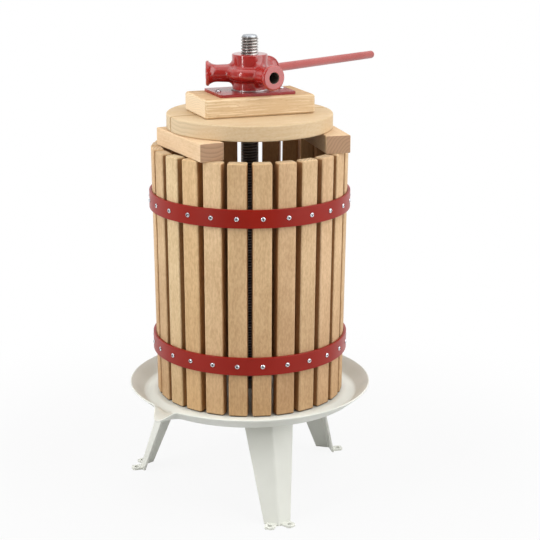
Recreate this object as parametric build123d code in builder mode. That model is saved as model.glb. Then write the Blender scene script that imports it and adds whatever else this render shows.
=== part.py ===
"""Fruit press: slatted basket on a three-legged juice pan, fixed spindle, cast nut turned by a bar.

Millimetres, +Z up. The origin is on the spindle's axis at floor level; the front is towards -Y
and the pouring lip points to the left front.
"""
import os
from math import atan, cos, degrees, hypot, pi, radians, sin, sqrt, tan

from build123d import *

os.makedirs("parts", exist_ok=True)

# Spindle and the nuts that clamp it to the pan
spindle_radius = 12.2
spindle_reach = 515.0
spindle_chamfer = 2.0
thread_clearance = 0.3
base_nut_across_flats = 36.0
base_nut_height = 14.0
base_washer_radius = 32.0
base_washer_thickness = 4.0

# Pan
pan_seat_level = 149.0
pan_sheet = 2.5
seat_margin = 7.0
gutter_slope_run = 9.0
gutter_floor_run = 5.0
gutter_depth = 5.0
rim_radius = 176.0
rim_rise = 10.0
pan_bend = 7.0
bend_share = 0.45
lip_angle = -132.6
lip_half_angle = 8.0
lip_reach = 17.0
lip_drop = 13.0
lip_steps = 12
lip_knee_share = 0.12
lip_overlap = 1.0
lip_lap = 0.1

# Legs
leg_front_angle = -76.5
leg_sheet = 3.0
leg_fold = 31.6
leg_top_radius = 129.8
leg_top_flange = 43.8
leg_foot_radius = 175.4
leg_foot_flange = 22.4
leg_bend = 4.5
lug_width = 14.5
lug_reach = 15.6
lug_hole_out = 8.5
lug_hole_radius = 3.3
lug_corner = 3.0

# Basket
slat_count = 25
slat_length = 360.0
slat_width = 26.2
slat_thickness = 16.0
slat_edge = 2.5
basket_foot_radius = 135.0
basket_mouth_radius = 139.5
front_gap_angle = -90.0
hoop_height = 25.5
hoop_thickness = 4.0
hoop_fit = 0.2
lower_hoop_middle = 75.8
upper_hoop_middle = 285.3
screw_head_radius = 3.2
screw_head_height = 1.8
screw_head_sides = 8

# Pressing beams, disc and block
beam_length = 146.0
beam_width = 35.0
beam_height = 25.0
beam_edge = 1.5
left_beam_x = -83.0
left_beam_y = -59.0
left_beam_turn = 26.6
right_beam_x = 104.0
right_beam_y = 4.0
right_beam_turn = 14.0
stack_turn = 20.5
disc_radius = 117.4
disc_thickness = 22.0
disc_edge = 2.0
disc_seam = 0.8
wood_hole_radius = 14.0
block_length = 162.0
block_width = 90.0
block_thickness = 27.0
block_edge = 2.5

# Pressure plate
plate_length = 111.0
plate_width = 72.0
plate_thickness = 4.0
plate_corner = 3.0
plate_screw_spacing = 94.0
plate_screw_head_radius = 4.5
plate_screw_head_height = 2.6
plate_screw_shank_radius = 2.2
plate_screw_bite = 18.0
plate_screw_clearance = 0.1

# Cast nut, thrust ring and lever bar
ring_radius = 25.8
ring_thickness = 2.0
nut_height = 48.5
nut_foot_radius = 24.2
nut_top_radius = 25.0
nut_edge = 1.5
nut_belt_radius = 34.0
nut_belt_round = 9.5
nut_belt_blend = 4.0
socket_count = 3
socket_level = 21.5
socket_reach = 61.8
socket_root_radius = 13.6
socket_neck_radius = 12.1
socket_flare_radius = 17.6
socket_flare_length = 13.0
socket_lip = 4.0
socket_lip_edge = 2.6
socket_blend = 7.0
socket_bore_radius = 7.7
socket_bore_chamfer = 0.6
socket_bore_chamfer_angle = 45.0
socket_bore_floor = 16.5
lever_angle = 63.0
lever_radius = 6.25
lever_end_reach = 444.0
lever_end_chamfer = 2.0
lever_play = 0.1
lever_inner_gap = 1.0

# Sizes that follow from those above
pan_underside = pan_seat_level - pan_sheet
basket_lean = degrees(atan((basket_mouth_radius - basket_foot_radius) / slat_length))
slat_rise = slat_length * cos(radians(basket_lean)) + slat_thickness * sin(radians(basket_lean))
beam_level = pan_seat_level + slat_rise
disc_level = beam_level + beam_height
block_level = disc_level + disc_thickness
plate_level = block_level + block_thickness
ring_level = plate_level + plate_thickness
nut_level = ring_level + ring_thickness
spindle_top = pan_seat_level + spindle_reach
spindle_foot = pan_underside - base_washer_thickness - base_nut_height - thread_clearance
bore_radius = spindle_radius + thread_clearance
slat_pitch = 360.0 / slat_count
plate_hole_radius = plate_screw_shank_radius + plate_screw_clearance
socket_mouth = socket_reach - socket_bore_chamfer
lever_droop = degrees(
    atan(2 * (socket_bore_radius - lever_radius - lever_play) / (socket_mouth - socket_bore_floor))
)


def around(radius, angle):
    """The plan position at a radius and an angle from +X, in degrees."""
    return (radius * cos(radians(angle)), radius * sin(radians(angle)))


def save(piece, name):
    """Names a piece and writes its STEP file."""
    piece.part.label = name
    export_step(piece.part, f"parts/{name}.step")


# Pan: one pressed sheet with a raised seat for the basket, a gutter round it and a pouring lip
sheet_half = pan_sheet / 2
seat_radius = basket_foot_radius + seat_margin
gutter_inner_radius = seat_radius + gutter_slope_run
gutter_outer_radius = gutter_inner_radius + gutter_floor_run
gutter_level = pan_seat_level - gutter_depth - sheet_half
rim_level = pan_seat_level + rim_rise
lip_half = sheet_half + lip_lap
lip_root_radius = (gutter_inner_radius + gutter_outer_radius) / 2
pan_line = [
    Vector(bore_radius, pan_seat_level - sheet_half),
    Vector(seat_radius, pan_seat_level - sheet_half),
    Vector(gutter_inner_radius, gutter_level),
    Vector(gutter_outer_radius, gutter_level),
    Vector(rim_radius - sheet_half, rim_level),
]


def bend_radius(before, corner, after):
    """The bend at a corner of the sheet, limited by the shorter of its two walls."""
    turn = radians((corner - before).get_angle(after - corner))
    shorter = min((corner - before).length, (after - corner).length)
    return min(pan_bend, bend_share * shorter / tan(turn / 2))


def lip_section(offset):
    """The sheet of the pouring lip in the upright plane at an angle from the lip's middle."""
    angle = lip_angle + offset
    swell = (1 + cos(pi * offset / lip_half_angle)) / 2
    root = Vector(lip_root_radius, gutter_level)
    edge = pan_line[-1] + Vector(lip_reach * swell, -lip_drop * swell)
    knee = pan_line[-2] + (edge - pan_line[-2]) * lip_knee_share
    upright = Plane(
        origin=(0, 0, 0),
        x_dir=(*around(1, angle), 0),
        z_dir=(*around(1, angle - 90), 0),
    )
    up, across = Vector(0, lip_half), edge - knee
    tilt = Vector(-across.Y, across.X).normalized() * lip_half
    with BuildSketch(upright) as section:
        with BuildLine():
            Polyline(
                root + up, knee + tilt, edge + tilt, edge - tilt, knee - tilt, root - up, close=True
            )
        make_face()
    return section.sketch


with BuildPart() as pan:
    with BuildSketch(Plane.XZ):
        with BuildLine() as profile:
            bends = [bend_radius(*pan_line[i : i + 3]) for i in range(len(pan_line) - 2)]
            FilletPolyline(*pan_line, radius=bends)
        trace(profile.line, pan_sheet)
    revolve(axis=Axis.Z)
    lip_outside = rim_radius + lip_reach
    lip_gap_angle = lip_half_angle - degrees(lip_overlap / rim_radius)
    with BuildSketch(Plane.XY.offset(gutter_level - pan_sheet)):
        with BuildLine():
            Polyline(
                around(gutter_outer_radius - lip_overlap, lip_angle - lip_gap_angle),
                around(lip_outside, lip_angle - lip_gap_angle),
                around(lip_outside, lip_angle + lip_gap_angle),
                around(gutter_outer_radius - lip_overlap, lip_angle + lip_gap_angle),
                close=True,
            )
        make_face()
    extrude(amount=rim_level - gutter_level + 2 * pan_sheet, mode=Mode.SUBTRACT)
    add(
        [
            lip_section(lip_half_angle * (1 - 2 * step / lip_steps))
            for step in range(lip_steps + 1)
        ]
    )
    loft(ruled=True)
save(pan, "pan")

# Spindle: long threaded rod, modelled to the thread's outside
with BuildPart(Plane.XY.offset(spindle_foot)) as spindle:
    Cylinder(
        spindle_radius,
        spindle_top - spindle_foot,
        align=(Align.CENTER, Align.CENTER, Align.MIN),
    )
    chamfer(spindle.edges().group_by(Axis.Z)[-1], spindle_chamfer)
save(spindle, "spindle")

# Nuts above and below the pan floor, with a washer under it
for name, level in (
    ("spindle_upper_nut", pan_seat_level),
    ("spindle_lower_nut", pan_underside - base_washer_thickness - base_nut_height),
):
    with BuildPart(Plane.XY.offset(level)) as base_nut:
        with BuildSketch(Plane.XY.offset(level)):
            RegularPolygon(base_nut_across_flats / 2, 6, major_radius=False)
            Circle(bore_radius, mode=Mode.SUBTRACT)
        extrude(amount=base_nut_height)
    save(base_nut, name)

with BuildPart() as spindle_washer:
    with BuildSketch(Plane.XY.offset(pan_underside - base_washer_thickness)):
        Circle(base_washer_radius)
        Circle(bore_radius, mode=Mode.SUBTRACT)
    extrude(amount=base_washer_thickness)
save(spindle_washer, "spindle_washer")


# Legs: folded V-section sheet with the fold outwards, and two drilled lugs bent out at the foot
def leg_section(level, angle, ridge_radius, flange):
    """The chevron of one leg in plan, at one level."""
    ridge = around(ridge_radius, angle)
    hollow = around(ridge_radius - leg_sheet / cos(radians(leg_fold)), angle)
    points = [ridge]
    for side in (1, -1):
        along = around(flange, angle + side * (90 + leg_fold))
        back = around(leg_sheet, angle + side * leg_fold)
        tip = (ridge[0] + along[0], ridge[1] + along[1])
        points += [tip, (tip[0] - back[0], tip[1] - back[1])]
    chevron = [points[0], points[1], points[2], hollow, points[4], points[3]]
    with BuildSketch(Plane.XY.offset(level)) as section:
        with BuildLine():
            Polyline(*chevron, close=True)
        make_face()
    return section.sketch


for name, angle in (
    ("front_leg", leg_front_angle),
    ("right_leg", leg_front_angle + 120),
    ("left_leg", leg_front_angle + 240),
):
    with BuildPart() as leg:
        add(
            [
                leg_section(0, angle, leg_foot_radius, leg_foot_flange),
                leg_section(pan_underside, angle, leg_top_radius, leg_top_flange),
            ]
        )
        loft(ruled=True)
        folds = leg.edges().filter_by(lambda e: e.length > pan_underside / 2)
        folds = folds.sort_by(lambda e: e.center().X * cos(radians(angle))
                              + e.center().Y * sin(radians(angle)))
        fillet(folds[-1], leg_bend)
        fillet(folds[-2], leg_bend - leg_sheet)
        ridge = around(leg_foot_radius, angle)
        for side in (1, -1):
            middle = around(leg_foot_flange / 2, angle + side * (90 + leg_fold))
            facing = angle + side * leg_fold
            flange_foot = Plane(
                origin=(ridge[0] + middle[0], ridge[1] + middle[1], 0),
                x_dir=(*around(1, facing), 0),
                z_dir=(0, 0, 1),
            )
            with BuildSketch(flange_foot):
                with BuildLine():
                    Polyline(
                        (-leg_sheet, -lug_width / 2),
                        (lug_reach - lug_corner, -lug_width / 2),
                        (lug_reach, -lug_width / 2 + lug_corner),
                        (lug_reach, lug_width / 2 - lug_corner),
                        (lug_reach - lug_corner, lug_width / 2),
                        (-leg_sheet, lug_width / 2),
                        close=True,
                    )
                make_face()
                with Locations((lug_hole_out, 0)):
                    Circle(lug_hole_radius, mode=Mode.SUBTRACT)
            extrude(amount=leg_sheet)
    save(leg, name)


# Slats: upright boards that lean in a little towards the foot of the basket
hoop_levels = (pan_seat_level + lower_hoop_middle, pan_seat_level + upper_hoop_middle)


def slat_angle(number):
    """The direction of a slat's middle; slat 1 is the first to the right of the front gap."""
    return front_gap_angle + (number - 0.5) * slat_pitch


def slat_face_radius(level):
    """How far the middle of a slat's outer face is from the axis at a level."""
    return basket_foot_radius + (level - pan_seat_level) * tan(radians(basket_lean))


def hoop_inner_radius(level):
    """A hoop bears on the flat edges of the slats, at its upper rim where they stand out most."""
    face = slat_face_radius(level + hoop_height / 2)
    return sqrt(face**2 + (slat_width / 2 - slat_edge) ** 2) + hoop_fit


for number in range(1, slat_count + 1):
    angle = slat_angle(number)
    lean_out, lean_up = sin(radians(basket_lean)), cos(radians(basket_lean))
    foot = Plane(
        origin=(*around(basket_foot_radius, angle), pan_seat_level),
        x_dir=(*around(1, angle + 90), 0),
        z_dir=(*around(lean_out, angle), lean_up),
    )
    with BuildPart() as slat:
        with BuildSketch(foot):
            with Locations((0, slat_thickness / 2)):
                Rectangle(slat_width, slat_thickness)
        extrude(amount=slat_length)
        long_edges = slat.edges().filter_by(lambda e: e.length > slat_length / 2)
        fillet(long_edges, slat_edge)
    save(slat, f"slat_{number:02d}")

# Hoops with a screw for each slat
for name, level in zip(("lower_hoop", "upper_hoop"), hoop_levels):
    inner = hoop_inner_radius(level)
    outer = inner + hoop_thickness
    with BuildPart() as hoop:
        with BuildSketch(Plane.XY.offset(level - hoop_height / 2)):
            Circle(outer)
            Circle(inner, mode=Mode.SUBTRACT)
        extrude(amount=hoop_height)
    save(hoop, name)

    with BuildPart() as screws:
        for number in range(1, slat_count + 1):
            angle = slat_angle(number)
            outward = Plane(origin=(*around(outer, angle), level), z_dir=(*around(1, angle), 0))
            with BuildSketch(outward):
                RegularPolygon(screw_head_radius, screw_head_sides)
            extrude(amount=screw_head_height)
    save(screws, f"{name}_screws")

# Two loose pressing beams across the basket's rim
for name, x, y, turn in (
    ("left_beam", left_beam_x, left_beam_y, left_beam_turn),
    ("right_beam", right_beam_x, right_beam_y, right_beam_turn),
):
    laid = Plane(origin=(x, y, beam_level), x_dir=(*around(1, turn), 0), z_dir=(0, 0, 1))
    with BuildPart() as beam:
        with BuildSketch(laid):
            Rectangle(beam_width, beam_length)
        extrude(amount=beam_height)
        chamfer(beam.edges(), beam_edge)
    save(beam, name)

# Pressing disc in two half-moons that meet round the spindle
for name, side in (("front_half_disc", -1), ("rear_half_disc", 1)):
    laid = Plane(origin=(0, 0, disc_level), x_dir=(*around(1, stack_turn), 0), z_dir=(0, 0, 1))
    with BuildPart() as half_disc:
        with BuildSketch(laid):
            Circle(disc_radius)
            Circle(wood_hole_radius, mode=Mode.SUBTRACT)
            with Locations((0, side * (disc_radius / 2 + disc_seam / 2))):
                Rectangle(2 * disc_radius, disc_radius, mode=Mode.INTERSECT)
        extrude(amount=disc_thickness)
        rim_edges = half_disc.edges().filter_by(GeomType.CIRCLE)
        rim_edges = rim_edges.filter_by(lambda e: e.radius > 2 * wood_hole_radius)
        chamfer(rim_edges, disc_edge)
    save(half_disc, name)

# Block that spreads the load over both half-moons
stack_plane = Plane(origin=(0, 0, block_level), x_dir=(*around(1, stack_turn), 0), z_dir=(0, 0, 1))
with BuildPart() as top_block:
    with BuildSketch(stack_plane):
        Rectangle(block_length, block_width)
    extrude(amount=block_thickness)
    chamfer(top_block.edges(), block_edge)
    with BuildSketch(stack_plane):
        Circle(wood_hole_radius)
        with GridLocations(plate_screw_spacing, 0, 2, 1):
            Circle(plate_hole_radius)
    extrude(amount=block_thickness, mode=Mode.SUBTRACT)
save(top_block, "top_block")

# Pressure plate and its two screws
plate_plane = stack_plane.offset(block_thickness)
with BuildPart() as pressure_plate:
    with BuildSketch(plate_plane):
        RectangleRounded(plate_length, plate_width, plate_corner)
        Circle(wood_hole_radius, mode=Mode.SUBTRACT)
        with GridLocations(plate_screw_spacing, 0, 2, 1):
            Circle(plate_hole_radius, mode=Mode.SUBTRACT)
    extrude(amount=plate_thickness)
save(pressure_plate, "pressure_plate")

with BuildPart() as plate_screws:
    with BuildSketch(plate_plane.offset(-plate_screw_bite)):
        with GridLocations(plate_screw_spacing, 0, 2, 1):
            Circle(plate_screw_shank_radius)
    extrude(amount=plate_screw_bite + plate_thickness)
    with BuildSketch(plate_plane.offset(plate_thickness)):
        with GridLocations(plate_screw_spacing, 0, 2, 1):
            Circle(plate_screw_head_radius)
    extrude(amount=plate_screw_head_height)
save(plate_screws, "plate_screws")

# Thrust ring under the nut
with BuildPart() as thrust_ring:
    with BuildSketch(Plane.XY.offset(ring_level)):
        Circle(ring_radius)
        Circle(bore_radius, mode=Mode.SUBTRACT)
    extrude(amount=ring_thickness)
save(thrust_ring, "thrust_ring")

# Nut: cast hub with a round belt and three trumpet sockets, blended into each other
socket_angles = [lever_angle + number * 360 / socket_count for number in range(socket_count)]
socket_axis_level = nut_level + socket_level
flare_end = socket_reach - socket_lip
flare_start = flare_end - socket_flare_length


def socket_plane(angle, reach):
    """The plane across a socket's axis at a distance from the spindle."""
    return Plane(
        origin=(*around(reach, angle), socket_axis_level),
        x_dir=(*around(1, angle + 90), 0),
        z_dir=(*around(1, angle), 0),
    )


with BuildPart() as press_nut:
    with BuildSketch(Plane.XZ):
        with BuildLine():
            Polyline(
                (0, nut_level),
                (nut_foot_radius, nut_level),
                (nut_top_radius, nut_level + nut_height),
                (0, nut_level + nut_height),
                close=True,
            )
        make_face()
    revolve(axis=Axis.Z)
    fillet(press_nut.edges().group_by(Axis.Z)[-1], nut_edge)
    with BuildSketch(Plane.XZ):
        with Locations((nut_belt_radius - nut_belt_round, socket_axis_level)):
            Circle(nut_belt_round)
    revolve(axis=Axis.Z)
    belt_edges = press_nut.edges().filter_by(GeomType.CIRCLE)
    belt_edges = belt_edges.filter_by(
        lambda e: abs(e.center().Z - socket_axis_level) < nut_belt_round
    )
    fillet(belt_edges, nut_belt_blend)
    for angle in socket_angles:
        side_view = Plane(
            origin=(0, 0, socket_axis_level),
            x_dir=(*around(1, angle), 0),
            z_dir=(*around(-1, angle + 90), 0),
        )
        with BuildSketch(side_view) as trumpet:
            with BuildLine():
                Polyline((0, 0), (0, socket_root_radius), (flare_start, socket_neck_radius))
                Spline(
                    (flare_start, socket_neck_radius),
                    (flare_end, socket_flare_radius),
                    tangents=((1, 0), (0.7, 1)),
                )
                Polyline(
                    (flare_end, socket_flare_radius),
                    (socket_reach, socket_flare_radius),
                    (socket_reach, 0),
                    (0, 0),
                )
            make_face()
            fillet(trumpet.vertices().sort_by(lambda v: v.X + v.Y)[-1], socket_lip_edge)
        revolve(axis=Axis((0, 0, socket_axis_level), (*around(1, angle), 0)))
    joins = press_nut.edges().filter_by(GeomType.CIRCLE, reverse=True)
    joins = joins.filter_by(GeomType.LINE, reverse=True)
    joins = joins.filter_by(lambda e: hypot(e.center().X, e.center().Y) < flare_start)
    fillet(joins, socket_blend)
    for angle in socket_angles:
        with BuildSketch(socket_plane(angle, socket_bore_floor)):
            Circle(socket_bore_radius)
        extrude(amount=socket_reach, mode=Mode.SUBTRACT)
        with BuildSketch(socket_plane(angle, socket_reach)):
            Circle(socket_bore_radius + socket_bore_chamfer)
        extrude(
            amount=-2 * socket_bore_chamfer, taper=socket_bore_chamfer_angle, mode=Mode.SUBTRACT
        )
    with BuildSketch(Plane.XY.offset(nut_level)):
        Circle(bore_radius)
    extrude(amount=nut_height, mode=Mode.SUBTRACT)
save(press_nut, "press_nut")

# Lever bar: plain round bar that hangs a little in its loose socket
socket_middle = (socket_mouth + socket_bore_floor) / 2
inner_end = socket_bore_floor + lever_inner_gap
droop_out, droop_down = cos(radians(lever_droop)), sin(radians(lever_droop))
bar_rise = (socket_middle - inner_end) * tan(radians(lever_droop))
lever_plane = Plane(
    origin=(*around(inner_end, lever_angle), nut_level + socket_level + bar_rise),
    x_dir=(*around(1, lever_angle + 90), 0),
    z_dir=(*around(droop_out, lever_angle), -droop_down),
)
with BuildPart() as lever_bar:
    with BuildSketch(lever_plane):
        Circle(lever_radius)
    extrude(amount=(lever_end_reach - inner_end) / droop_out)
    far_end = lever_bar.edges().filter_by(GeomType.CIRCLE).sort_by(lambda e: e.center().Y)[-1]
    chamfer(far_end, lever_end_chamfer)
save(lever_bar, "lever_bar")
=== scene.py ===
"""Fruit press: the looks of the pan, legs, basket, pressing wood, cast nut and bar, built round the
solids of the press. Sizes of the press are in millimetres, while Blender's are in metres, with +Z up
and the front towards -Y."""
import math

import bmesh
import bpy
from mathutils import Matrix, Vector


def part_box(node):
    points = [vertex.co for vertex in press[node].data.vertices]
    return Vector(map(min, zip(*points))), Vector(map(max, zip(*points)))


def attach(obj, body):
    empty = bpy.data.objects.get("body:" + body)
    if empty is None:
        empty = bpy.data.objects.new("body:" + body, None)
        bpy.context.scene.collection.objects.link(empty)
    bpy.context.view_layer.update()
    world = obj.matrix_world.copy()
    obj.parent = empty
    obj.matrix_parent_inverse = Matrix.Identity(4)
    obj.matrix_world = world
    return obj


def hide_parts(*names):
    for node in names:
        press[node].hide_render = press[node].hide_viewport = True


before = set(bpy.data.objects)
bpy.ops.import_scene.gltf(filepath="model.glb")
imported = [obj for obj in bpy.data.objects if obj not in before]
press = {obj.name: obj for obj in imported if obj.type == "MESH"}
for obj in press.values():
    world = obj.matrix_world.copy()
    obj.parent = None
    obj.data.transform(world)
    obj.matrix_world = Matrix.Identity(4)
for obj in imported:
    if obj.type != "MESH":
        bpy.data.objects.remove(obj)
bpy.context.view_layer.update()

# Pan. One disc of sheet steel, pressed to a raised seat with a gutter round it and a flared wall,
# which is drawn out to a pouring lip at the left front. It is stove-enamelled cream all over.
MM = 0.001
pan_seat = 149.0
pan_sheet = 2.5
pan_hole = 12.5
pan_bend = 3.0
seat_radius = 142.0
gutter_inner = 151.0
gutter_outer = 156.0
gutter_depth = 5.0
rim_radius = 174.75
rim_rise = 10.0
rim_steps = 6
lip_angle = -132.6
lip_half_angle = 8.0
lip_reach = 17.0
lip_drop = 13.0
lip_span = 10.0
lip_step = 0.5
pan_step = 2.0
enamel_cream = (0.70, 0.705, 0.645, 1)
enamel_shade = (0.66, 0.665, 0.605, 1)
drift_size = 14.0
drift_range = (0.35, 0.65)
speck_size = 900.0
speck_range = (0.62, 0.74)
speck_share = 0.35
gloss_range = (0.3, 0.7)
gloss_drift = 0.05
peel_size = 420.0
peel_depth = 0.4
coat_roughness = 0.1


def add_node(tree, kind, sockets=None, **settings):
    """Adds a node; a socket is given a value, or is linked where it is given another node's output."""
    new = tree.nodes.new(kind)
    for setting, value in settings.items():
        setattr(new, setting, value)
    for socket, value in (sockets or {}).items():
        if isinstance(value, bpy.types.NodeSocket):
            tree.links.new(value, new.inputs[socket])
        else:
            new.inputs[socket].default_value = value
    return new


def reckon(tree, how, first, second=0.0, third=0.0):
    """Works out one number from up to three and returns it."""
    return add_node(tree, "ShaderNodeMath", {0: first, 1: second, 2: third}, operation=how).outputs[0]


def blend_colours(tree, share, first, second, how="MIX"):
    """Mixes two colours and returns the mixed one."""
    colours = {0: share, 6: first, 7: second}
    return add_node(tree, "ShaderNodeMix", colours, data_type="RGBA", blend_type=how).outputs[2]


def ease(tree, value, low, high, out_low=0.0, out_high=1.0):
    """Runs a value smoothly from one range to another and returns it."""
    span = {"Value": value, "From Min": low, "From Max": high, "To Min": out_low, "To Max": out_high}
    return add_node(tree, "ShaderNodeMapRange", span, interpolation_type="SMOOTHSTEP").outputs[0]


def cloud(tree, place, size, detail=2.0):
    """Makes soft random patches, about this many to the metre, and returns how strong they are."""
    noise = {"Vector": place, "Scale": size, "Detail": detail}
    return add_node(tree, "ShaderNodeTexNoise", noise).outputs[0]


def new_finish(name, roughness):
    """Starts a material and returns it with its node tree and its shader."""
    finish = bpy.data.materials.new(name)
    finish.use_nodes = True
    shader = finish.node_tree.nodes["Principled BSDF"]
    shader.inputs["Roughness"].default_value = roughness
    return finish, finish.node_tree, shader


def raise_skin(tree, shader, height, strength, depth):
    """Gives a shader a relief from a height; the depth is in millimetres."""
    relief = {"Height": height, "Strength": strength, "Distance": depth * MM}
    tree.links.new(add_node(tree, "ShaderNodeBump", relief).outputs[0], shader.inputs["Normal"])


def stove_enamel(name, colour, shade, roughness, peel, coat=0.0, mirror=0.5):
    """Sprayed and baked enamel: a faint drift of tone, fine specks and the skin of a sprayed coat."""
    finish, tree, shader = new_finish(name, roughness)
    place = add_node(tree, "ShaderNodeTexCoord").outputs["Object"]
    drift = cloud(tree, place, drift_size, detail=3.0)
    tone = blend_colours(tree, ease(tree, drift, *drift_range), colour, shade)
    speck = ease(tree, cloud(tree, place, speck_size), *speck_range, 0.0, speck_share)
    gloss = ease(tree, drift, *gloss_range, roughness - gloss_drift, roughness + gloss_drift)
    tree.links.new(blend_colours(tree, speck, tone, shade), shader.inputs["Base Color"])
    tree.links.new(gloss, shader.inputs["Roughness"])
    raise_skin(tree, shader, cloud(tree, place, peel_size), peel, peel_depth)
    shader.inputs["Coat Weight"].default_value = coat
    shader.inputs["Coat Roughness"].default_value = coat_roughness
    shader.inputs["Specular IOR Level"].default_value = mirror
    return finish


def new_piece(name, points, faces, finish):
    """Makes a smooth mesh piece from points in millimetres."""
    mesh = bpy.data.meshes.new(name)
    mesh.from_pydata([Vector(point) * MM for point in points], [], faces)
    mesh.polygons.foreach_set("use_smooth", [True] * len(mesh.polygons))
    mesh.materials.append(finish)
    mesh.update()
    piece = bpy.data.objects.new(name, mesh)
    bpy.context.scene.collection.objects.link(piece)
    return piece


def round_piece(name, sections, turns, finish):
    """A closed ring through sections, each at its own angle. A section is points of radius and level
    that run outwards over the top and back underneath."""
    points, faces = [], []
    for section, turn in zip(sections, turns):
        around = Vector((math.cos(math.radians(turn)), math.sin(math.radians(turn))))
        points += [(*(around * radius), level) for radius, level in section]
    count = len(sections[0])
    for ring in range(len(turns)):
        row = ring * count
        after = (ring + 1) % len(turns) * count
        for k in range(count):
            beside = (k + 1) % count
            faces.append((row + k, row + beside, after + beside, after + k))
    return new_piece(name, points, faces, finish)


def eased_corners(line, reach, steps=6, most=0.45):
    """A line in a plane with each inner corner drawn as a short curve. The curve reaches so far from
    the corner, but takes up no more than this share of a run."""
    points = [line[0]]
    for before, corner, after in zip(line, line[1:], line[2:]):
        back, on = before - corner, after - corner
        start = corner + back.normalized() * min(reach, back.length * most)
        end = corner + on.normalized() * min(reach, on.length * most)
        for step in range(steps + 1):
            t = step / steps
            points.append(start * (1 - t) ** 2 + corner * 2 * t * (1 - t) + end * t**2)
    return points + [line[-1]]


def pan_section(offset):
    """The outline of the sheet, hole to rim and back underneath, at an angle from the lip."""
    swell = 0.0
    if abs(offset) < lip_half_angle:
        swell = (1 + math.cos(math.pi * offset / lip_half_angle)) / 2
    half = pan_sheet / 2
    gutter = pan_seat - gutter_depth - half
    foot = Vector((gutter_outer, gutter))
    edge = Vector((rim_radius + lip_reach * swell, pan_seat + rim_rise - lip_drop * swell))
    line = [Vector((pan_hole, pan_seat - half)), Vector((seat_radius, pan_seat - half))]
    line += [Vector((gutter_inner, gutter)), foot, foot.lerp(edge, 0.5), edge]
    line = eased_corners(line, pan_bend)
    upper, lower = [], []
    for number, point in enumerate(line):
        along = (line[min(number + 1, len(line) - 1)] - line[max(number - 1, 0)]).normalized()
        across = Vector((-along.y, along.x)) * half
        upper.append(point + across)
        lower.append(point - across)
    # The edge is half round, drawn from the two directions at the last point.
    swings = [math.pi * step / rim_steps for step in range(1, rim_steps)]
    rim = [line[-1] + across * math.cos(swing) + along * half * math.sin(swing) for swing in swings]
    return upper + rim + lower[::-1]


lip_steps = round(lip_span / lip_step)
wall_steps = round((360 - 2 * lip_span) / pan_step)
pan_turns = [lip_angle + lip_step * step for step in range(-lip_steps, lip_steps + 1)]
pan_turns += [lip_angle + lip_span + pan_step * step for step in range(1, wall_steps)]
pan_sections = [pan_section(turn - lip_angle) for turn in pan_turns]
cream = stove_enamel("cream_enamel", enamel_cream, enamel_shade, roughness=0.42, peel=0.05)
juice_pan = round_piece("juice_pan", pan_sections, pan_turns, cream)
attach(juice_pan, "base")
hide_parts("pan")

# Legs. Each is a tapered strip of sheet steel folded to a V with the fold outwards, welded under
# the pan, with its two flanges bent out at the foot to drilled lugs. They have the pan's enamel.


def finish_solid(node, finish):
    """Gives a solid of the press its finish."""
    press[node].data.materials.clear()
    press[node].data.materials.append(finish)


for leg in ("front_leg", "left_leg", "right_leg"):
    finish_solid(leg, cream)

# Spindle. A steel rod with a rolled thread over its whole length, chamfered at the top and left
# bare. It stands fixed in the middle of the pan. Its lower part and the roots of the thread are
# darkened with painted shade, and its sawn end is pale.
thread_crest = 12.2
thread_root = 10.35
thread_pitch = 4.0
thread_sides = 40
thread_shape = (0.0, 0.0, 0.45, 0.95, 1.0, 1.0, 0.55, 0.08)
spindle_foot = 128.2
spindle_top = 664.0
thread_runout = 3.5
plain_end = 1.6
end_chamfer = 1.4
sawn_end = 1.5
weld_reach = 0.02
steel_bright = (0.66, 0.63, 0.61, 1)
steel_dark = (0.42, 0.40, 0.38, 1)
steel_end = (0.46, 0.485, 0.515, 1)
film_range = (0.38, 0.68)
streak_fineness = 9
streak_relief = 0.08
streak_depth = 0.3
steel_duller = 0.1
steel_glossier = 0.08
steel_shade = (0.25, 0.23, 0.215, 1)
steel_shade_top = 590.0
steel_shade_fade = 15.0
steel_shade_share = 0.9
root_shade = 0.8
root_margin = 0.2
crest_margin = 0.3


def turned_steel(name, light, dark, roughness, size):
    """Bare steel: streaks from the tool, a dull film in patches and a slightly uneven gloss."""
    finish, tree, shader = new_finish(name, roughness)
    place = add_node(tree, "ShaderNodeTexCoord").outputs["Object"]
    streak = cloud(tree, place, size * streak_fineness, detail=3.0)
    film = ease(tree, cloud(tree, place, size, detail=4.0), *film_range)
    gloss = ease(tree, streak, *gloss_range, roughness - steel_glossier, roughness + steel_duller)
    tree.links.new(blend_colours(tree, film, light, dark), shader.inputs["Base Color"])
    tree.links.new(gloss, shader.inputs["Roughness"])
    raise_skin(tree, shader, streak, streak_relief, streak_depth)
    shader.inputs["Metallic"].default_value = 1.0
    return finish


def colour_of(finish):
    """The node tree of a finish, the input that takes its colour and the colour that it has so far."""
    tree = finish.node_tree
    paint = tree.nodes["Principled BSDF"].inputs["Base Color"]
    return tree, paint, paint.links[0].from_socket


def parts_of(tree, vector):
    """Splits a place or direction and returns its three parts."""
    return add_node(tree, "ShaderNodeSeparateXYZ", {0: vector}).outputs


def long_side(tree, first, second):
    """Returns the long side of a right-angled triangle with these two short ones."""
    squares = reckon(tree, "MULTIPLY_ADD", first, first, reckon(tree, "MULTIPLY", second, second))
    return reckon(tree, "SQRT", squares)


def shade_over(tree, share, colour, darker):
    """Darkens a share of a colour with a darker one laid over it, as painted shade, and returns it."""
    return blend_colours(tree, share, colour, blend_colours(tree, 1.0, colour, darker, "MULTIPLY"))


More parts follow.
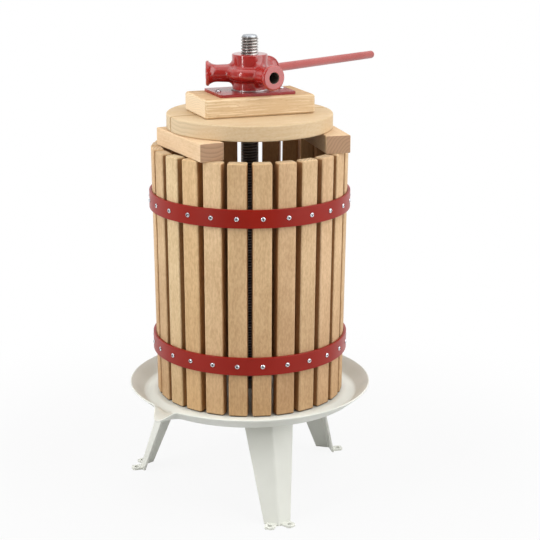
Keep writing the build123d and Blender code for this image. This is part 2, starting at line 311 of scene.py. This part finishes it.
spindle_steel = turned_steel("spindle_steel", steel_bright, steel_dark, roughness=0.4, size=60.0)
tree, paint, bare = colour_of(spindle_steel)
x, y, z = parts_of(tree, add_node(tree, "ShaderNodeTexCoord").outputs["Object"])
# Painted shade on the lower part of the spindle and in the roots of its thread.
low_shade_on_steel = ease(tree, z, (steel_shade_top - steel_shade_fade) * MM, steel_shade_top * MM, steel_shade_share, 0.0)
root_end = (thread_root + root_margin) * MM
crest_start = (thread_crest - crest_margin) * MM
root_shadow = ease(tree, long_side(tree, x, y), root_end, crest_start, root_shade, 0.0)
shaded_steel = shade_over(tree, root_shadow, shade_over(tree, low_shade_on_steel, bare, steel_shade), steel_shade)
sawn = ease(tree, z, (spindle_top - thread_runout) * MM, (spindle_top - sawn_end) * MM)
tree.links.new(blend_colours(tree, sawn, shaded_steel, steel_end), paint)
thread_rows = len(thread_shape)
thread_levels = (int((spindle_top - spindle_foot) / thread_pitch) + 2) * thread_rows
spindle_points, spindle_faces = [], []
for level in range(thread_levels):
    for side in range(thread_sides):
        height = spindle_foot + thread_pitch * (level / thread_rows + side / thread_sides - 1)
        height = min(max(height, spindle_foot), spindle_top)
        room = spindle_top - height
        rise = min(thread_shape[level % thread_rows], max(0.0, room - plain_end) / thread_runout)
        radius = thread_root + (thread_crest - thread_root) * rise - max(0.0, end_chamfer - room)
        angle = 2 * math.pi * side / thread_sides
        spindle_points.append((radius * math.cos(angle), radius * math.sin(angle), height))
for level in range(thread_levels - 1):
    row = level * thread_sides
    for side in range(thread_sides - 1):
        over = row + thread_sides
        spindle_faces.append((row + side, row + side + 1, over + side + 1, over + side))
    # At the seam a row meets the one that is a whole turn further up.
    if level + thread_rows + 1 < thread_levels:
        over = (level + thread_rows) * thread_sides
        last = row + thread_sides - 1
        spindle_faces.append((last, over, over + thread_sides, last + thread_sides))
threaded_spindle = new_piece("threaded_spindle", spindle_points, spindle_faces, spindle_steel)
rod = bmesh.new()
rod.from_mesh(threaded_spindle.data)
bmesh.ops.remove_doubles(rod, verts=rod.verts, dist=weld_reach * MM)
bmesh.ops.holes_fill(rod, edges=[edge for edge in rod.edges if edge.is_boundary], sides=0)
rod.to_mesh(threaded_spindle.data)
rod.free()
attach(threaded_spindle, "base")
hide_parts("spindle")

# Spindle nuts and washer. Two plain hexagon nuts clamp the spindle to the pan's floor, the lower one
# on a broad washer. They are of the same bare steel.
for clamp in ("spindle_upper_nut", "spindle_lower_nut", "spindle_washer"):
    finish_solid(clamp, spindle_steel)

# Slats. Twenty-five planed hardwood boards stand round the pan's seat a narrow gap apart, each
# with its edges eased. The wood is bare, with painted shade low down and on the faces that do not
# look outwards and a painted shadow at the foot, and its tone varies from board to board.
slat_count = 25
slat_width = 26.2
slat_thickness = 16.0
slat_length = 360.0
slat_edge = 2.5
slat_end_edge = 2.4
flat_weight = 100
basket_foot = 135.0
basket_mouth = 139.5
front_gap = -90.0
slat_light = (0.695, 0.492, 0.293, 1)
slat_dark = (0.53, 0.35, 0.19, 1)
slat_pore = (0.36, 0.20, 0.095, 1)
slat_end = (0.64, 0.47, 0.29, 1)
slat_tones = ((0.96, 0.94, 0.88), (0.92, 0.88, 0.84), (0.98, 0.98, 0.96), (0.98, 0.96, 0.96),
              (1.0, 0.98, 0.96), (0.97, 0.96, 0.93), (0.94, 0.92, 0.88), (1.0, 0.97, 0.94),
              (0.95, 0.95, 0.93), (1.05, 1.13, 1.13), (1.05, 1.04, 0.95), (1.07, 1.08, 1.06))
board_shift = 3000.0
pith_spread = 120.0
ring_taper = 0.012
ring_wander = 12.0
ring_start = 0.25
ring_late = 0.9
wander_streaks = (0.16, 26.0)
fibre_streaks = (0.035, 700.0, 3.0)
fibre_range = (0.36, 0.66)
pore_streaks = (0.2, 640.0)
pore_range = (0.58, 0.72)
pore_depth = 1.2
left_flecks = (0.4, 430.0, 2.0, (0, 0.6, 0.3))
right_flecks = (0.4, 390.0, 2.0, (0, -0.6, -0.3))
fleck_range = (0.38, 0.64)
wash_size = 17.0
wash_range = (0.32, 0.7)
wash_share = 0.4
end_range = (0.75, 0.95)
wood_roughness = 0.62
wood_gloss = (0.56, 0.7)
wood_relief = 0.16
wood_depth = 0.4
wood_mirror = 0.28
slat_shade_foot = 150.0
slat_unshaded_level = 400.0
low_shade_share = 0.34
inner_shade_range = (0.03, 0.08)
inner_shade_share = 0.78
foot_shadow_height = 2.2
foot_shadow_share = 0.9
foot_shadow_tone = 0.08
joint_shade_reach = (0.7, 2.6)
joint_shade_share = 0.9


def rounded_rectangle(width, depth, corner, steps=4):
    """Points round a rectangle with rounded corners, its middle at the origin."""
    points = []
    for quarter, (across, through) in enumerate(((1, 1), (-1, 1), (-1, -1), (1, -1))):
        centre = Vector((across * (width / 2 - corner), through * (depth / 2 - corner)))
        for step in range(steps + 1):
            angle = math.pi / 2 * (quarter + step / steps)
            points.append(centre + Vector((math.cos(angle), math.sin(angle))) * corner)
    return points


def drawn_in(outline, inset):
    """The outline moved inwards by an even amount."""
    moved = []
    for before, here, after in zip(outline[-1:] + outline[:-1], outline, outline[1:] + outline[:1]):
        first, second = (here - before).normalized(), (after - here).normalized()
        inward = Vector((-first.y - second.y, first.x + second.x)).normalized()
        moved.append(here + inward * inset / inward.dot(Vector((-first.y, first.x))))
    return moved


def keep_flat(piece):
    """Keeps the broad faces of a piece flat to the eye, with its rounded edges smooth."""
    piece.modifiers.new("flat_faces", "WEIGHTED_NORMAL").weight = flat_weight


def eased_board(name, outline, length, edge, place, finish, steps=4):
    """A board along Z with this outline and its end edges rounded, put in its place."""
    points, faces = [], []
    for end in (0, 1):
        for step in range(steps + 1):
            swing = math.pi / 2 * (step if end else steps - step) / steps
            level = edge * (1 - math.sin(swing))
            ring = drawn_in(outline, edge * (1 - math.cos(swing)))
            points += [place @ Vector((*point, length - level if end else level)) for point in ring]
    count = len(outline)
    for row in range(0, len(points) - count, count):
        for k in range(count):
            beside = (k + 1) % count
            faces.append((row + k, row + beside, row + count + beside, row + count + k))
    faces.append(tuple(reversed(range(count))))
    faces.append(tuple(range(len(points) - count, len(points))))
    board = new_piece(name, points, faces, finish)
    keep_flat(board)
    return board


def vector_of(tree, how, first, second, third=(0, 0, 0)):
    """Works out one place or direction from two or three and returns it."""
    vectors = {0: first, 1: second, 2: third}
    return add_node(tree, "ShaderNodeVectorMath", vectors, operation=how).outputs["Vector"]


def measure_of(tree, how, first, second=(0, 0, 0)):
    """Measures a place or direction, or one against another, and returns the number."""
    return add_node(tree, "ShaderNodeVectorMath", {0: first, 1: second}, operation=how).outputs["Value"]


def toned(colour, share):
    """The colour with only this share of its light."""
    return tuple(part * share for part in colour[:3]) + (1,)


def wood_shade(tree, colour, coords, dark, foot, unshaded_level):
    """Paints shade on wood: darker from its foot up to a level where it fades out, darker on the faces
    that do not look outwards, and a nearly black painted shadow at the foot."""
    height = parts_of(tree, coords["Object"])[2]
    outwards = measure_of(tree, "DOT_PRODUCT", coords["Normal"], coords["Object"])
    low_shade = ease(tree, height, foot * MM, unshaded_level * MM, low_shade_share, 0.0)
    inner_shade = ease(tree, outwards, *inner_shade_range, inner_shade_share, 0.0)
    colour = shade_over(tree, reckon(tree, "MAXIMUM", low_shade, inner_shade), colour, dark)
    foot_shadow = ease(tree, height, foot * MM, (foot + foot_shadow_height) * MM, foot_shadow_share, 0.0)
    return blend_colours(tree, foot_shadow, colour, toned(dark, foot_shadow_tone))


def planed_wood(name, light, dark, pores, end, grain, pith=None, ring_gap=4.2, rings=0.15,
                end_rings=0.34, mottle=0.46, fleck=0.26, fibres=0.26, shade_levels=None, joint=None):
    """Planed hardwood with its rings round a pith line along the grain, so that sides show streaks
    and ends show arcs, with slanting flecks, short dark pores and soft broad patches. A board
    without a given pith, a point in millimetres, gets one of its own. Where shade_levels gives the
    levels of a foot and of a top, the board gets painted shade. Where joint gives the direction
    across a joint at the origin, the joint gets painted shade."""
    finish, tree, shader = new_finish(name, wood_roughness)
    coords = add_node(tree, "ShaderNodeTexCoord").outputs
    own = add_node(tree, "ShaderNodeObjectInfo").outputs
    draw = {"W": own["Random"]}
    chance = add_node(tree, "ShaderNodeTexWhiteNoise", draw, noise_dimensions="1D").outputs
    along = Vector(grain).normalized()
    upright = along.rotation_difference(Vector((0, 0, 1)))
    stood = {"Vector": coords["Object"], "Rotation": upright.to_euler()}
    laid = add_node(tree, "ShaderNodeMapping", stood).outputs[0]
    shifted = vector_of(tree, "MULTIPLY_ADD", chance["Color"], (board_shift * MM,) * 3, laid)

    def streaks(stretch, size, detail=2.0, slant=(0, 0, 0)):
        """Patches drawn out along the grain, and leaning if a slant is given."""
        drawn = {"Vector": shifted, "Scale": (1, 1, stretch), "Rotation": slant}
        return cloud(tree, add_node(tree, "ShaderNodeMapping", drawn).outputs[0], size, detail)

    if pith is None:
        spread = Vector((pith_spread, pith_spread, 0)) * MM
        centre = vector_of(tree, "MULTIPLY_ADD", chance["Color"], spread * 2, -spread)
    else:
        centre = upright @ (Vector(pith) * MM)
        centre.z = 0
    flat = vector_of(tree, "MULTIPLY", laid, (1, 1, ring_taper))
    from_pith = measure_of(tree, "DISTANCE", flat, centre)
    wavy = reckon(tree, "MULTIPLY_ADD", streaks(*wander_streaks), ring_wander * MM, from_pith)
    growth = reckon(tree, "FRACT", reckon(tree, "DIVIDE", wavy, ring_gap * MM))
    darkening = ease(tree, growth, ring_start, ring_late)
    ring = reckon(tree, "MULTIPLY", darkening, ease(tree, growth, ring_late, 1.0, 1.0, 0.0))
    fibre = streaks(*fibre_streaks)
    streak = ease(tree, fibre, *fibre_range)
    leaning = reckon(tree, "GREATER_THAN", chance["Value"], 0.5)
    leans = {0: leaning, 2: streaks(*left_flecks), 3: streaks(*right_flecks)}
    flecks = ease(tree, add_node(tree, "ShaderNodeMix", leans).outputs[0], *fleck_range)
    wash = ease(tree, cloud(tree, shifted, wash_size, detail=3.0), *wash_range, 0.0, wash_share)
    share = reckon(tree, "MULTIPLY_ADD", ring, rings, wash)
    share = reckon(tree, "MULTIPLY_ADD", streak, fibres, share)
    share = reckon(tree, "MULTIPLY_ADD", flecks, mottle, share)
    colour = blend_colours(tree, share, light, dark)
    end_on = reckon(tree, "ABSOLUTE", measure_of(tree, "DOT_PRODUCT", coords["Normal"], along))
    end_colour = blend_colours(tree, ring, end, toned(end, 1 - end_rings))
    colour = blend_colours(tree, ease(tree, end_on, *end_range), colour, end_colour)
    dots = ease(tree, streaks(*pore_streaks), *pore_range, 0.0, fleck)
    colour = blend_colours(tree, dots, colour, pores)
    # Painted shade low down and on the faces that do not look outwards, and a painted shadow at the
    # foot.
    if shade_levels:
        colour = wood_shade(tree, colour, coords, dark, *shade_levels)
    # Painted shade in the joint between the half-moons.
    if joint:
        off = reckon(tree, "ABSOLUTE", measure_of(tree, "DOT_PRODUCT", coords["Object"], joint))
        start, shade_end = joint_shade_reach
        joint_shade = ease(tree, off, start * MM, shade_end * MM, joint_shade_share, 0.0)
        colour = shade_over(tree, joint_shade, colour, dark)
    tinted = blend_colours(tree, 1.0, colour, own["Color"], "MULTIPLY")
    tree.links.new(tinted, shader.inputs["Base Color"])
    tree.links.new(ease(tree, streak, 0.0, 1.0, *wood_gloss), shader.inputs["Roughness"])
    height = reckon(tree, "MULTIPLY_ADD", dots, -pore_depth, fibre)
    raise_skin(tree, shader, height, wood_relief, wood_depth)
    shader.inputs["Specular IOR Level"].default_value = wood_mirror
    return finish


def slat_angle(number):
    """The angle round the basket at which a slat stands."""
    return math.radians(front_gap + (number + 0.5) * 360 / slat_count)


# The slats get painted shade low down and on their inner and side faces, and a painted shadow at the
# foot.
slat_wood = planed_wood("slat_wood", slat_light, slat_dark, slat_pore, slat_end, (0, 0, 1),
                        shade_levels=(slat_shade_foot, slat_unshaded_level))
slat_lean = math.atan((basket_mouth - basket_foot) / slat_length)
slat_outline = rounded_rectangle(slat_width, slat_thickness, slat_edge)
slat_foot = Matrix.Translation((basket_foot, 0, pan_seat)) @ Matrix.Rotation(slat_lean, 4, "Y")
slat_across = Matrix.Rotation(math.radians(90), 4, "Z") @ Matrix.Translation((0, slat_thickness / 2, 0))
for number in range(slat_count):
    node = f"slat_{number + 1:02d}"
    place = Matrix.Rotation(slat_angle(number), 4, "Z") @ slat_foot @ slat_across
    board = eased_board(node.replace("slat", "slat_board"), slat_outline, slat_length, slat_end_edge,
                        place, slat_wood)
    board.color = (*slat_tones[number % len(slat_tones)], 1)
    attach(board, "basket")
    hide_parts(node)

# Hoops. Two bands of flat steel hold the slats together, bent round, welded and enamelled red.
# Each is screwed to every slat.
hoop_thickness = 4.0
hoop_height = 25.5
hoop_edge = 0.8
hoop_step = 2.0
hoop_red = (0.265, 0.0095, 0.0025, 1)
hoop_shade = (0.24, 0.008, 0.002, 1)
hoop_enamel = stove_enamel("hoop_enamel", hoop_red, hoop_shade, roughness=0.33, peel=0.08, mirror=0.26)
hoop_turns = [hoop_step * step for step in range(round(360 / hoop_step))]
hoop_places = {}
for hoop in ("upper_hoop", "lower_hoop"):
    low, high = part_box(hoop)
    outside = high.x / MM
    level = (low.z + high.z) / 2 / MM
    hoop_places[hoop] = (outside, level)
    middle = Vector((outside - hoop_thickness / 2, level))
    section = [middle + point for point in rounded_rectangle(hoop_thickness, hoop_height, hoop_edge)]
    # Turned about, the section runs outwards over the top.
    hoop_sections = [section[::-1]] * len(hoop_turns)
    band = round_piece(hoop.replace("hoop", "band"), hoop_sections, hoop_turns, hoop_enamel)
    keep_flat(band)
    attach(band, "basket")
    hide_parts(hoop)

# Hoop screws. Small zinc-plated wood screws with a round head and a cross recess, one for each
# slat in each hoop; only their heads show.
screw_radius = 3.2
screw_height = 1.8
screw_turn = 0.83
head_sides = 32
head_rings = 11
head_edge = 0.28
dome_power = 2.4
recess_long = 0.56
recess_end = 0.14
recess_wide = 0.2
recess_deep = 0.75
recess_steep = 2.2
recess_share = 0.35
zinc_light = (0.78, 0.79, 0.82, 1)
zinc_dark = (0.50, 0.52, 0.56, 1)
recess_light = (0.05, 0.055, 0.065, 1)
recess_dark = (0.02, 0.022, 0.028, 1)


def screw_head(radius, height, spin):
    """The points and faces of one head, a dome with a cross pressed into it on its own axis, and
    which of its faces are in the cross."""
    points, faces = [(0, 0, height * (1 - recess_deep))], []
    sunk = [1.0]
    for ring in range(1, head_rings + 1):
        out = min(1.0, ring / (head_rings - 1))
        dome = height * math.sqrt(1 - out**dome_power)
        if ring == head_rings - 1:
            dome = height * head_edge
        elif ring == head_rings:
            dome = 0.0
        for side in range(head_sides):
            angle = 2 * math.pi * side / head_sides
            x, y = out * math.cos(angle + spin), out * math.sin(angle + spin)
            near, far = min(abs(x), abs(y)), max(abs(x), abs(y))
            within_width = max(0.0, 1 - near / recess_wide)
            within_length = max(0.0, min(1.0, (recess_long - far) / recess_end))
            sunk.append(min(1.0, within_width * within_length * recess_steep))
            level = dome - height * recess_deep * sunk[-1] * (1 - out / 2)
            points.append((out * radius * math.cos(angle), out * radius * math.sin(angle), level))
    for side in range(head_sides):
        beside = (side + 1) % head_sides
        faces.append((0, 1 + side, 1 + beside))
        for ring in range(head_rings - 1):
            inner = 1 + ring * head_sides
            outer = inner + head_sides
            faces.append((inner + side, outer + side, outer + beside, inner + beside))
    underside = 1 + (head_rings - 1) * head_sides
    faces.append(tuple(underside + side for side in reversed(range(head_sides))))
    sunk_faces = [int(sum(sunk[k] for k in face) / len(face) > recess_share) for face in faces]
    return points, faces, sunk_faces


def set_of_screws(name, places, radius, height):
    """One piece of many heads; a place is a matrix in millimetres with the head's axis along Z."""
    points, faces, recesses = [], [], []
    for number, place in enumerate(places):
        head_points, head_faces, sunk_faces = screw_head(radius, height, number * screw_turn)
        faces += [tuple(k + len(points) for k in face) for face in head_faces]
        points += [place @ Vector(point) for point in head_points]
        recesses += sunk_faces
    heads = new_piece(name, points, faces, zinc)
    heads.data.materials.append(recess_shadow)
    heads.data.polygons.foreach_set("material_index", recesses)
    return heads


zinc = turned_steel("zinc_plate", zinc_light, zinc_dark, roughness=0.24, size=500.0)
recess_shadow = turned_steel("recess_shadow", recess_light, recess_dark, roughness=0.5, size=500.0)
for hoop, (outside, level) in hoop_places.items():
    places = []
    for number in range(slat_count):
        out = Vector((math.cos(slat_angle(number)), math.sin(slat_angle(number)), 0))
        facing = out.to_track_quat("Z", "Y").to_matrix().to_4x4()
        places.append(Matrix.Translation(out * outside + Vector((0, 0, level))) @ facing)
    heads = set_of_screws(f"{hoop}_screw_heads", places, screw_radius, screw_height)
    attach(heads, "basket")
    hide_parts(f"{hoop}_screws")

# Pressing beams. Two short squared lengths of the same hardwood, laid across the basket's rim;
# their sawn ends show the rings of the tree. Each has its middle, turn, pith and width of rings.
beam_length = 146.0
beam_width = 35.0
beam_height = 25.0
beam_edge = 1.6
beam_end_edge = 0.8
beams = {"left_beam": ((-83.0, -59.0), 26.6, (-50.3, -124.3, 577.0), 5.6),
         "right_beam": ((104.0, 4.0), 14.0, (148.9, -60.0, 496.7), 4.2)}
beam_light = (0.75, 0.555, 0.355, 1)
beam_dark = (0.64, 0.445, 0.265, 1)
beam_pore = (0.47, 0.29, 0.15, 1)
beam_end = (0.41, 0.25, 0.148, 1)
beam_outline = rounded_rectangle(beam_width, beam_height, beam_edge)
beam_lying = Matrix.Rotation(math.radians(-90), 4, "X") @ Matrix.Translation((0, 0, -beam_length / 2))
for beam, (middle, turn, pith, ring_gap) in beams.items():
    along = Vector((math.cos(math.radians(turn + 90)), math.sin(math.radians(turn + 90)), 0))
    wood = planed_wood(f"{beam}_wood", beam_light, beam_dark, beam_pore, beam_end, along, pith, ring_gap,
                       end_rings=0.22, mottle=0.3)
    low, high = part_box(beam)
    level = (low.z + high.z) / 2 / MM
    turned = Matrix.Rotation(math.radians(turn), 4, "Z")
    place = Matrix.Translation((*middle, level)) @ turned @ beam_lying
    timber = eased_board(beam.replace("beam", "timber"), beam_outline, beam_length, beam_end_edge,
                         place, wood)
    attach(timber, beam)
    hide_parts(beam)

# Pressing disc. Two half-moons of board that meet round the spindle, with their edges eased and
# painted shade in their joint. They lie on the beams. Each has its turn and its pith.
disc_radius = 117.4
disc_thickness = 22.0
disc_seam = 0.8
disc_hole = 14.0
disc_edge = 2.4
seam_corner = 5.0
rim_facets = 90
hole_facets = 24
disc_turn = 20.5
half_discs = {"front_half_disc": (disc_turn + 180, (40.0, -30.0, 700.0)),
              "rear_half_disc": (disc_turn, (-30.0, 40.0, 380.0))}
disc_light = (0.62, 0.48, 0.305, 1)
disc_dark = (0.56, 0.40, 0.23, 1)
disc_grain = (math.cos(math.radians(disc_turn)), math.sin(math.radians(disc_turn)), 0)
across_seam = (-disc_grain[1], disc_grain[0], 0)


def half_round(radius, facets):
    """Points on a half circle from the seam's edge on the right over to its edge on the left."""
    start = math.asin(disc_seam / 2 / radius)
    turns = [start + (math.pi - 2 * start) * step / facets for step in range(facets + 1)]
    return [Vector((math.cos(turn), math.sin(turn))) * radius for turn in turns]


def half_moon():
    """Points round the half of the disc beyond the seam, its outer corners eased."""
    rim = half_round(disc_radius, rim_facets)
    hole = half_round(disc_hole, hole_facets)
    right = Vector(((disc_hole + disc_radius) / 2, disc_seam / 2))
    left = Vector((-right.x, right.y))
    right_corner = eased_corners([right, rim[0], rim[2]], seam_corner)[1:-1]
    left_corner = eased_corners([rim[-3], rim[-1], left], seam_corner)[1:-1]
    return [right] + right_corner + rim[2:-2] + left_corner + [left] + hole[::-1]


for half, (turn, pith) in half_discs.items():
    wood = planed_wood(f"{half}_wood", disc_light, disc_dark, beam_pore, disc_light, disc_grain, pith,
                       ring_gap=6.0, rings=0.22, end_rings=0.12, mottle=0.32, fleck=0.28,
                       joint=across_seam)
    turned = Matrix.Rotation(math.radians(turn), 4, "Z")
    place = Matrix.Translation((0, 0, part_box(half)[0].z / MM)) @ turned
    moon = eased_board(half.replace("half_disc", "half_moon"), half_moon(), disc_thickness, disc_edge,
                       place, wood)
    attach(moon, "disc")
    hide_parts(half)

# Top block. A thick board on the disc that takes the nut's push; its corners and edges are
# rounded over, and its top is painted a little darker as painted shade.
block_edge = 1.2
block_pith = (0.0, -20.0, 480.0)
block_light = (0.815, 0.65, 0.437, 1)
block_dark = (0.61, 0.435, 0.25, 1)
block_end = (0.78, 0.62, 0.42, 1)
block_top_shade = (0.84, 0.75, 0.66, 1)
top_shade_range = (0.75, 0.97)
solid_weld = 0.01
sharp_angle = 30
rounding_steps = 3


def round_over(node, edge):
    """Rounds the sharp edges of a solid of the press and keeps its faces flat to the eye."""
    join = press[node].modifiers.new("join", "WELD")
    join.merge_threshold = solid_weld * MM
    rounding = press[node].modifiers.new("round_over", "BEVEL")
    rounding.width = edge * MM
    rounding.segments = rounding_steps
    rounding.angle_limit = math.radians(sharp_angle)
    keep_flat(press[node])


block_wood = planed_wood("top_block_wood", block_light, block_dark, beam_pore, block_end, disc_grain,
                         block_pith, ring_gap=3.2, rings=0.58, end_rings=0.12, mottle=0.12,
                         fleck=0.5, fibres=0.85)
tree, paint, block_unshaded = colour_of(block_wood)
upward = parts_of(tree, add_node(tree, "ShaderNodeTexCoord").outputs["Normal"])[2]
# The faces that look up get painted shade.
tree.links.new(shade_over(tree, ease(tree, upward, *top_shade_range), block_unshaded, block_top_shade), paint)
finish_solid("top_block", block_wood)
round_over("top_block", block_edge)

# Pressure plate. Flat steel plate with a thick coat of gloss red enamel, screwed on the block so
# that the nut does not wear the wood.
plate_edge = 0.9
plate_red = (0.28, 0.013, 0.011, 1)
plate_shade = (0.25, 0.012, 0.010, 1)
plate_enamel = stove_enamel("plate_enamel", plate_red, plate_shade, roughness=0.24, peel=0.6, coat=0.15,
                            mirror=0.32)
finish_solid("pressure_plate", plate_enamel)
round_over("pressure_plate", plate_edge)

# Plate screws. Two zinc-plated wood screws with a round head and a cross recess, larger than those
# of the hoops. They hold the plate on the block, one at each end.
plate_screw_radius = 4.5
plate_screw_height = 2.6
plate_screw_spacing = 94.0
places = []
for side in (-1, 1):
    out = Vector(disc_grain) * (side * plate_screw_spacing / 2)
    places.append(Matrix.Translation(out + Vector((0, 0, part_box("pressure_plate")[1].z / MM))))
plate_heads = set_of_screws("plate_screw_heads", places, plate_screw_radius, plate_screw_height)
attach(plate_heads, "block")
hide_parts("plate_screws")

# Thrust ring. A flat ring of turned steel, left bare and bright, that lies loose between the plate
# and the nut. The nut turns on it.
ring_edge = 0.5
ring_light = (0.55, 0.54, 0.54, 1)
ring_dark = (0.40, 0.39, 0.39, 1)
ring_steel = turned_steel("ring_steel", ring_light, ring_dark, roughness=0.42, size=120.0)
finish_solid("thrust_ring", ring_steel)
round_over("thrust_ring", ring_edge)

# Press nut. Iron casting: a hub threaded on the spindle, with three trumpet-shaped sockets for the
# bar. It has a thick coat of gloss red enamel over the cast skin. Its bores are bare iron, darkened
# further with painted shade.
socket_angle = 63.0
socket_level = 21.5
socket_bore = 7.9
bore_margin = 0.3
nut_red = (0.35, 0.015, 0.010, 1)
nut_shade = (0.29, 0.012, 0.009, 1)
bore_iron_and_shade = (0.12, 0.10, 0.085, 1)
nut_enamel = stove_enamel("nut_enamel", nut_red, nut_shade, roughness=0.26, peel=0.16, coat=0.8,
                          mirror=0.5)
tree, paint, enamelled = colour_of(nut_enamel)
x, y, z = parts_of(tree, add_node(tree, "ShaderNodeTexCoord").outputs["Object"])
bearing = reckon(tree, "SUBTRACT", reckon(tree, "ARCTAN2", y, x), math.radians(socket_angle))
bearing = reckon(tree, "WRAP", bearing, math.pi / 3, -math.pi / 3)
aside = reckon(tree, "MULTIPLY", long_side(tree, x, y), reckon(tree, "SINE", bearing))
above = reckon(tree, "SUBTRACT", z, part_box("press_nut")[0].z + socket_level * MM)
off_axis = long_side(tree, aside, above)
# The bores get the colour of bare iron together with painted shade, nearly black.
bore_shade = ease(tree, off_axis, socket_bore * MM, (socket_bore + bore_margin) * MM, 1.0, 0.0)
tree.links.new(blend_colours(tree, bore_shade, enamelled, bore_iron_and_shade), paint)
finish_solid("press_nut", nut_enamel)

# Lever bar. A plain round steel bar with a coat of red enamel. It sits loose in one of the nut's
# sockets, and is pulled round to turn the nut.
bar_red = (0.375, 0.05, 0.04, 1)
bar_shade = (0.34, 0.042, 0.034, 1)
bar_enamel = stove_enamel("bar_enamel", bar_red, bar_shade, roughness=0.34, peel=0.1)
finish_solid("lever_bar", bar_enamel)

# Floor. A broad white sheet under the press, which keeps a soft shadow of it. Gloss shows the floor
# white behind the press and dim in front of it.
floor_half = 12000.0
floor_drop = 0.2
floor_grey = (0.5, 0.5, 0.5, 1)
floor_white = (1, 1, 1, 1)
near_press = 300.0
far_off = 800.0
shadow_share = 0.9
dim_floor = -1300.0
bright_floor = -200.0
dim_room = 0.08


def seen_by(tree, mirrored):
    """How much of a backdrop's white a ray sees: all of it straight on or through glass, and this
    share of it in gloss."""
    path = add_node(tree, "ShaderNodeLightPath").outputs
    straight = reckon(tree, "MAXIMUM", path["Is Camera Ray"], path["Is Transmission Ray"])
    return reckon(tree, "MAXIMUM", straight, reckon(tree, "MULTIPLY", path["Is Glossy Ray"], mirrored))


floor_finish, tree, shader = new_finish("white_floor", roughness=0.9)
shader.inputs["Base Color"].default_value = floor_grey
spot = add_node(tree, "ShaderNodeTexCoord").outputs["Object"]
ahead = parts_of(tree, spot)[1]
seen = seen_by(tree, ease(tree, ahead, dim_floor * MM, bright_floor * MM, dim_room, 1.0))
out = measure_of(tree, "LENGTH", spot)
away = ease(tree, out, near_press * MM, far_off * MM, shadow_share, 1.0)
glow = add_node(tree, "ShaderNodeEmission", {"Color": floor_white, "Strength": 1.0})
white = {0: reckon(tree, "MULTIPLY", seen, away), 1: shader.outputs[0], 2: glow.outputs[0]}
mixed = add_node(tree, "ShaderNodeMixShader", white)
tree.links.new(mixed.outputs[0], tree.nodes["Material Output"].inputs["Surface"])
floor_corners = []
for x, y in ((-1, -1), (1, -1), (1, 1), (-1, 1)):
    floor_corners.append((x * floor_half, y * floor_half, -floor_drop))
new_piece("floor", floor_corners, [(0, 1, 2, 3)], floor_finish)

# Studio. White behind the press and a dim room in front, with a tall soft box at each side, a narrow
# one at the left front, a broad one above and one behind. Their places and sizes are in metres.
room_light = 0.13
room_white = (1, 1, 1, 1)
room_turn = (-0.3, 0.3)
world = bpy.data.worlds.new("studio")
bpy.context.scene.world = world
world.use_nodes = True
tree = world.node_tree
backdrop = tree.nodes["Background"]
ahead = parts_of(tree, add_node(tree, "ShaderNodeTexCoord").outputs["Generated"])[1]
seen = seen_by(tree, ease(tree, ahead, *room_turn, dim_room, 1.0))
tree.links.new(reckon(tree, "MAXIMUM", seen, room_light), backdrop.inputs["Strength"])
backdrop.inputs["Color"].default_value = room_white


def soft_lamp(name, place, aim, width, height, power, mirrored=True):
    """A rectangular soft box that points at a spot on the press; gloss need not show it."""
    lamp = bpy.data.lights.new(name, "AREA")
    lamp.shape = "RECTANGLE"
    lamp.size = width
    lamp.size_y = height
    lamp.energy = power
    holder = bpy.data.objects.new(name, lamp)
    holder.visible_glossy = mirrored
    towards = (Vector(aim) - Vector(place)).to_track_quat("-Z", "Y").to_matrix().to_4x4()
    holder.matrix_world = Matrix.Translation(place) @ towards
    bpy.context.scene.collection.objects.link(holder)


press_middle = (0, 0, 0.4)
soft_lamp("left_lamp", (-1.6, -0.35, 1.4), press_middle, width=1.6, height=2.0, power=27.5,
          mirrored=False)
soft_lamp("right_lamp", (1.3, -0.63, 1.22), press_middle, width=1.8, height=2.4, power=39)
soft_lamp("narrow_lamp", (-1.26, -1.14, 1.0), press_middle, width=0.12, height=1.6, power=11)
soft_lamp("top_lamp", (-0.2, -0.2, 2.5), press_middle, width=2.4, height=2.4, power=19.5)
soft_lamp("back_lamp", (0.3, 1.9, 1.5), press_middle, width=1.6, height=1.2, power=18,
          mirrored=False)

# Camera. It stands in front of the press, above its top, and looks down at the middle of it. The long
# lens is given in pixels of the picture.
camera_place = (0, -2.0829, 0.9025)
camera_turn = -0.8014
camera_pitch = 15.5032
camera_roll = 0.156
focal_pixels = 1491.3
picture_pixels = 540
sensor_width = 36.0
camera = bpy.data.cameras.new("camera")
camera.sensor_fit = "HORIZONTAL"
camera.sensor_width = sensor_width
camera.lens = focal_pixels / picture_pixels * sensor_width
stand = bpy.data.objects.new("camera", camera)
swung = Matrix.Rotation(math.radians(camera_turn), 4, "Z")
tipped = Matrix.Rotation(math.radians(90 - camera_pitch), 4, "X")
rolled = Matrix.Rotation(math.radians(camera_roll), 4, "Z")
stand.matrix_world = Matrix.Translation(camera_place) @ swung @ tipped @ rolled
bpy.context.scene.collection.objects.link(stand)
bpy.context.scene.camera = stand
bpy.context.scene.view_settings.view_transform = "Standard"
